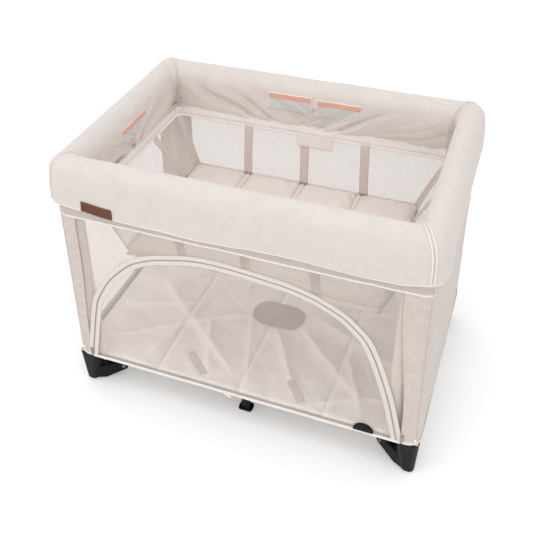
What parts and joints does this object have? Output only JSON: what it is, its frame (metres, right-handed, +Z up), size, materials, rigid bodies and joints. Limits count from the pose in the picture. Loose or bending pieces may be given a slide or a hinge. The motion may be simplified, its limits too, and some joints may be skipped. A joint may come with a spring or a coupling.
{
  "type": "travel play yard",
  "caption": "Folding travel play yard: padded rails round fabric and mesh walls, an arched zip door, corner feet with a hub, a floor mattress and a lift-out bassinet.",
  "frame": {"origin": "on the floor, under the middle of the yard", "axes": "+X along the long side, to the right seen from the door; +Y from the door to the back; +Z up"},
  "size_m": [1.0404, 0.693, 0.812],
  "materials": {
    "cream_fabric": "fine woven, matt",
    "padded_fabric": "fine woven over padding, matt",
    "zip_tape": "woven tape",
    "door_fabric": "see-through mesh with a fabric edge",
    "floor_fabric": "coarse woven",
    "mattress_fabric": "quilted, matt",
    "patch_taupe": "stitched, matt",
    "bassinet_mesh": "see-through mesh",
    "bassinet_pad": "quilted, matt",
    "webbing": "ribbed",
    "label_grey": "satin",
    "label_coral": "satin",
    "tag_leather": "smooth",
    "steel_tube": "powder coated, satin",
    "black_plastic": "fine texture",
    "rivet_steel": "bright",
    "button_plastic": "satin",
    "zip_metal": "satin",
    "rod_plastic": "satin"
  },
  "bodies": {
    "base": {"hub": "black_plastic", "hub_pins": "rivet_steel", "floor_panel": "floor_fabric", "mattress": "mattress_fabric"},
    "lower_tube_fl": {"lower_tube_fl": "steel_tube"},
    "lower_tube_fr": {"lower_tube_fr": "steel_tube"},
    "lower_tube_br": {"lower_tube_br": "steel_tube"},
    "lower_tube_bl": {"lower_tube_bl": "steel_tube"},
    "corner_fl": {"post_fl": "steel_tube", "foot_fl": "black_plastic", "corner_joint_fl": "black_plastic", "rivets_fl": "rivet_steel", "wall_front": "cream_fabric", "rail_cover_front": "padded_fabric", "door_zip": "zip_tape"},
    "corner_fr": {"post_fr": "steel_tube", "foot_fr": "black_plastic", "corner_joint_fr": "black_plastic", "rivets_fr": "rivet_steel", "wall_right": "cream_fabric", "rail_cover_right": "padded_fabric"},
    "corner_br": {"post_br": "steel_tube", "foot_br": "black_plastic", "corner_joint_br": "black_plastic", "rivets_br": "rivet_steel", "wall_back": "cream_fabric", "rail_cover_back": "padded_fabric"},
    "corner_bl": {"post_bl": "steel_tube", "foot_bl": "black_plastic", "corner_joint_bl": "black_plastic", "rivets_bl": "rivet_steel", "wall_left": "cream_fabric", "rail_cover_left": "padded_fabric"},
    "rail_front_left": {"rail_front_left": "steel_tube"},
    "rail_left_front": {"rail_left_front": "steel_tube"},
    "rail_front_right": {"rail_front_right": "steel_tube"},
    "rail_right_front": {"rail_right_front": "steel_tube"},
    "rail_back_right": {"rail_back_right": "steel_tube"},
    "rail_right_back": {"rail_right_back": "steel_tube"},
    "rail_back_left": {"rail_back_left": "steel_tube"},
    "rail_left_back": {"rail_left_back": "steel_tube"},
    "latch_front": {"latch_front": "black_plastic"},
    "latch_right": {"latch_right": "black_plastic"},
    "latch_back": {"latch_back": "black_plastic"},
    "latch_left": {"latch_left": "black_plastic"},
    "button_front": {"latch_button_front": "button_plastic"},
    "button_right": {"latch_button_right": "button_plastic"},
    "button_back": {"latch_button_back": "button_plastic"},
    "button_left": {"latch_button_left": "button_plastic"},
    "mid_leg_front": {"mid_leg_front": "steel_tube", "mid_foot_front": "black_plastic"},
    "mid_leg_back": {"mid_leg_back": "steel_tube", "mid_foot_back": "black_plastic"},
    "handle": {"hub_handle": "black_plastic"},
    "bassinet": {"bassinet_shell": "bassinet_mesh", "bassinet_pads": "bassinet_pad", "bassinet_rods": "rod_plastic"},
    "door": {"door_panel": "door_fabric"},
    "zip_left": {"zip_slider_left": "zip_metal"},
    "zip_right": {"zip_slider_right": "zip_metal"}
  },
  "joints": [
    {"name": "fold", "type": "hinge", "parent": "base", "child": "lower_tube_fl", "pos_m": [-0.03172, -0.02092, 0.036], "axis": [0.5505, -0.8348, 0], "range_deg": [0, 86], "deforming": ["wall_front", "wall_right", "wall_back", "wall_left", "rail_cover_front", "rail_cover_right", "rail_cover_back", "rail_cover_left", "door_panel", "door_zip", "floor_panel", "mattress", "bassinet_shell", "bassinet_pads"]},
    {"name": "hub_pivot_fr", "type": "hinge", "parent": "base", "child": "lower_tube_fr", "pos_m": [0.03172, -0.02092, 0.036], "axis": [0.5505, 0.8348, 0], "range_deg": [0, 86]},
    {"name": "hub_pivot_br", "type": "hinge", "parent": "base", "child": "lower_tube_br", "pos_m": [0.03172, 0.02092, 0.036], "axis": [-0.5505, 0.8348, 0], "range_deg": [0, 86]},
    {"name": "hub_pivot_bl", "type": "hinge", "parent": "base", "child": "lower_tube_bl", "pos_m": [-0.03172, 0.02092, 0.036], "axis": [-0.5505, -0.8348, 0], "range_deg": [0, 86]},
    {"name": "foot_pivot_fl", "type": "hinge", "parent": "lower_tube_fl", "child": "corner_fl", "pos_m": [-0.41655, -0.27466, 0.036], "axis": [-0.5505, 0.8348, 0], "range_deg": [0, 86]},
    {"name": "foot_pivot_fr", "type": "hinge", "parent": "lower_tube_fr", "child": "corner_fr", "pos_m": [0.41655, -0.27466, 0.036], "axis": [-0.5505, -0.8348, 0], "range_deg": [0, 86]},
    {"name": "foot_pivot_br", "type": "hinge", "parent": "lower_tube_br", "child": "corner_br", "pos_m": [0.41655, 0.27466, 0.036], "axis": [0.5505, -0.8348, 0], "range_deg": [0, 86]},
    {"name": "foot_pivot_bl", "type": "hinge", "parent": "lower_tube_bl", "child": "corner_bl", "pos_m": [-0.41655, 0.27466, 0.036], "axis": [0.5505, 0.8348, 0], "range_deg": [0, 86]},
    {"name": "rail_front_left_pivot", "type": "hinge", "parent": "corner_fl", "child": "rail_front_left", "pos_m": [-0.40683, -0.3165, 0.7777], "axis": [0, 1, 0], "range_deg": [0, 86]},
    {"name": "rail_left_front_pivot", "type": "hinge", "parent": "corner_fl", "child": "rail_left_front", "pos_m": [-0.48, -0.27575, 0.7777], "axis": [-1, 0, 0], "range_deg": [0, 86]},
    {"name": "rail_front_right_pivot", "type": "hinge", "parent": "corner_fr", "child": "rail_front_right", "pos_m": [0.40683, -0.3165, 0.7777], "axis": [0, -1, 0], "range_deg": [0, 86]},
    {"name": "rail_right_front_pivot", "type": "hinge", "parent": "corner_fr", "child": "rail_right_front", "pos_m": [0.48, -0.27575, 0.7777], "axis": [-1, 0, 0], "range_deg": [0, 86]},
    {"name": "rail_back_right_pivot", "type": "hinge", "parent": "corner_br", "child": "rail_back_right", "pos_m": [0.40683, 0.3165, 0.7777], "axis": [0, -1, 0], "range_deg": [0, 86]},
    {"name": "rail_right_back_pivot", "type": "hinge", "parent": "corner_br", "child": "rail_right_back", "pos_m": [0.48, 0.27575, 0.7777], "axis": [1, 0, 0], "range_deg": [0, 86]},
    {"name": "rail_back_left_pivot", "type": "hinge", "parent": "corner_bl", "child": "rail_back_left", "pos_m": [-0.40683, 0.3165, 0.7777], "axis": [0, 1, 0], "range_deg": [0, 86]},
    {"name": "rail_left_back_pivot", "type": "hinge", "parent": "corner_bl", "child": "rail_left_back", "pos_m": [-0.48, 0.27575, 0.7777], "axis": [1, 0, 0], "range_deg": [0, 86]},
    {"name": "latch_front_pivot", "type": "hinge", "parent": "rail_front_left", "child": "latch_front", "pos_m": [-0.022, -0.3165, 0.7777], "axis": [0, -1, 0], "range_deg": [0, 86]},
    {"name": "latch_right_pivot", "type": "hinge", "parent": "rail_right_front", "child": "latch_right", "pos_m": [0.48, -0.022, 0.7777], "axis": [1, 0, 0], "range_deg": [0, 86]},
    {"name": "latch_back_pivot", "type": "hinge", "parent": "rail_back_right", "child": "latch_back", "pos_m": [0.022, 0.3165, 0.7777], "axis": [0, 1, 0], "range_deg": [0, 86]},
    {"name": "latch_left_pivot", "type": "hinge", "parent": "rail_left_back", "child": "latch_left", "pos_m": [-0.48, 0.022, 0.7777], "axis": [-1, 0, 0], "range_deg": [0, 86]},
    {"name": "latch_button_front_press", "type": "slide", "parent": "latch_front", "child": "button_front", "axis": [0, 0, 1], "range_m": [0, 0.004], "stiffness_N_per_m": 300, "springref_m": -0.001},
    {"name": "latch_button_right_press", "type": "slide", "parent": "latch_right", "child": "button_right", "axis": [0, 0, 1], "range_m": [0, 0.004], "stiffness_N_per_m": 300, "springref_m": -0.001},
    {"name": "latch_button_back_press", "type": "slide", "parent": "latch_back", "child": "button_back", "axis": [0, 0, 1], "range_m": [0, 0.004], "stiffness_N_per_m": 300, "springref_m": -0.001},
    {"name": "latch_button_left_press", "type": "slide", "parent": "latch_left", "child": "button_left", "axis": [0, 0, 1], "range_m": [0, 0.004], "stiffness_N_per_m": 300, "springref_m": -0.001},
    {"name": "mid_leg_front_pivot", "type": "hinge", "parent": "base", "child": "mid_leg_front", "pos_m": [0, -0.038, 0.036], "axis": [1, 0, 0], "range_deg": [0, 86]},
    {"name": "mid_leg_back_pivot", "type": "hinge", "parent": "base", "child": "mid_leg_back", "pos_m": [0, 0.038, 0.036], "axis": [-1, 0, 0], "range_deg": [0, 86]},
    {"name": "handle_pull", "type": "slide", "parent": "base", "child": "handle", "axis": [0, 0, 1], "range_m": [0, 0.02]},
    {"name": "bassinet_lift_out", "type": "slide", "parent": "base", "child": "bassinet", "axis": [0, 0, 1], "range_m": [0, 0.362]},
    {"name": "door_flap", "type": "hinge", "parent": "corner_fl", "child": "door", "pos_m": [0, -0.341, 0.132], "axis": [1, 0, 0], "range_deg": [0, 100]},
    {"name": "zip_slider_left_run", "type": "slide", "parent": "corner_fl", "child": "zip_left", "axis": [0.1453, 0, 0.9894], "range_m": [0, 0.1011]},
    {"name": "zip_slider_right_run", "type": "slide", "parent": "corner_fr", "child": "zip_right", "axis": [-0.1453, 0, 0.9894], "range_m": [0, 0.1011]}
  ],
  "couplings": [
    {"joint": "hub_pivot_fr", "follows": "fold", "ratio": 1},
    {"joint": "hub_pivot_br", "follows": "fold", "ratio": 1},
    {"joint": "hub_pivot_bl", "follows": "fold", "ratio": 1},
    {"joint": "foot_pivot_fl", "follows": "fold", "ratio": 1},
    {"joint": "foot_pivot_fr", "follows": "fold", "ratio": 1},
    {"joint": "foot_pivot_br", "follows": "fold", "ratio": 1},
    {"joint": "foot_pivot_bl", "follows": "fold", "ratio": 1},
    {"joint": "rail_front_left_pivot", "follows": "fold", "ratio": 1},
    {"joint": "rail_left_front_pivot", "follows": "fold", "ratio": 1},
    {"joint": "rail_front_right_pivot", "follows": "fold", "ratio": 1},
    {"joint": "rail_right_front_pivot", "follows": "fold", "ratio": 1},
    {"joint": "rail_back_right_pivot", "follows": "fold", "ratio": 1},
    {"joint": "rail_right_back_pivot", "follows": "fold", "ratio": 1},
    {"joint": "rail_back_left_pivot", "follows": "fold", "ratio": 1},
    {"joint": "rail_left_back_pivot", "follows": "fold", "ratio": 1},
    {"joint": "latch_front_pivot", "follows": "fold", "ratio": 1},
    {"joint": "latch_right_pivot", "follows": "fold", "ratio": 1},
    {"joint": "latch_back_pivot", "follows": "fold", "ratio": 1},
    {"joint": "latch_left_pivot", "follows": "fold", "ratio": 1},
    {"joint": "mid_leg_front_pivot", "follows": "fold", "ratio": 1},
    {"joint": "mid_leg_back_pivot", "follows": "fold", "ratio": 1}
  ]
}
